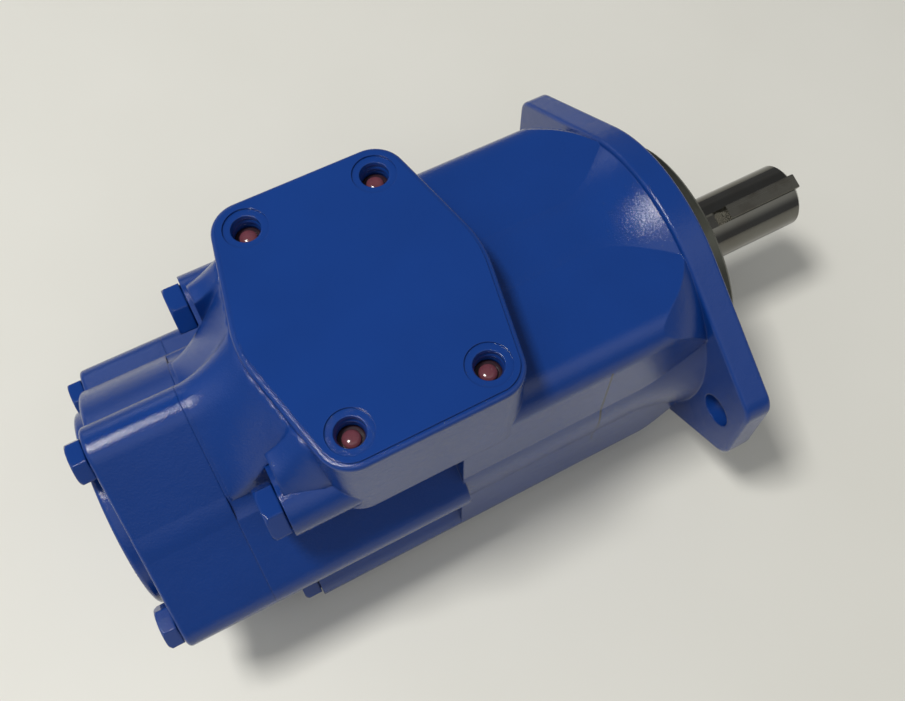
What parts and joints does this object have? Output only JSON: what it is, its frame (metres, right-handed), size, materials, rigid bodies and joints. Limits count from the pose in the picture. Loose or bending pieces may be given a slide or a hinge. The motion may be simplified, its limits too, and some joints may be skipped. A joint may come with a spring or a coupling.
{
  "type": "hydraulic vane pump",
  "caption": "Double vane pump for hydraulic oil, with a two-bolt flange, keyed shaft, top inlet pad and two pumping cartridges on one shaft.",
  "frame": {"origin": "where the shaft axis meets the face of the mounting flange", "axes": "+X out of the driven end of the shaft, +Z the normal of the inlet pad, +Y completes the right-handed set"},
  "size_m": [0.3855, 0.215, 0.1736],
  "materials": {
    "blue_enamel": "glossy enamel sprayed over cast iron",
    "bolt_enamel": "glossy enamel over forged bolt heads",
    "sheet_enamel": "glossy enamel over a thin transit sheet",
    "plug_plastic": "moulded plastic thread plug",
    "nitrile_rubber": "moulded nitrile",
    "bearing_steel": "ground bearing steel",
    "ball_steel": "lapped balls",
    "pressed_steel": "pressed cage",
    "spring_steel": "phosphated spring steel",
    "shaft_steel": "ground shaft steel",
    "key_steel": "drawn key steel",
    "bush_bronze": "bronze",
    "plate_iron": "machined iron",
    "hardened_steel": "ground hardened steel",
    "vane_steel": "ground tool steel",
    "screw_steel": "black-oxide steel"
  },
  "bodies": {
    "housing": {"outlet_body": "blue_enamel", "inlet_body": "blue_enamel", "end_cover": "blue_enamel", "body_bolts": "bolt_enamel", "cover_bolts": "bolt_enamel", "inlet_transit_sheet": "sheet_enamel", "inlet_thread_plugs": "plug_plastic", "body_joint_seal": "nitrile_rubber", "cover_joint_seal": "nitrile_rubber", "shaft_seal": "nitrile_rubber", "bearing_outer_ring": "bearing_steel", "bearing_retaining_ring": "spring_steel", "cover_bush": "bush_bronze", "front_outlet_plate": "plate_iron", "front_inlet_plate": "plate_iron", "front_side_plates": "bush_bronze", "front_cam_ring": "hardened_steel", "front_cartridge_screws": "screw_steel", "front_dowels": "screw_steel", "rear_outlet_plate": "plate_iron", "rear_inlet_plate": "plate_iron", "rear_side_plates": "bush_bronze", "rear_cam_ring": "hardened_steel", "rear_cartridge_screws": "screw_steel", "rear_dowels": "screw_steel"},
    "rotating_group": {"drive_shaft": "shaft_steel", "shaft_key": "key_steel", "bearing_inner_ring": "bearing_steel", "shaft_retaining_ring": "spring_steel", "front_rotor": "hardened_steel", "front_vanes": "vane_steel", "front_vane_inserts": "vane_steel", "rear_rotor": "hardened_steel", "rear_vanes": "vane_steel", "rear_vane_inserts": "vane_steel"},
    "ball_train": {"bearing_balls": "ball_steel", "bearing_cage": "pressed_steel"}
  },
  "joints": [
    {"name": "shaft_spin", "type": "hinge", "parent": "housing", "child": "rotating_group", "pos_m": [0, 0, 0], "axis": [1, 0, 0], "continuous": true},
    {"name": "ball_train_spin", "type": "hinge", "parent": "housing", "child": "ball_train", "pos_m": [-0.001, 0, 0], "axis": [1, 0, 0], "continuous": true}
  ],
  "couplings": [
    {"joint": "ball_train_spin", "follows": "shaft_spin", "ratio": 0.4008}
  ]
}
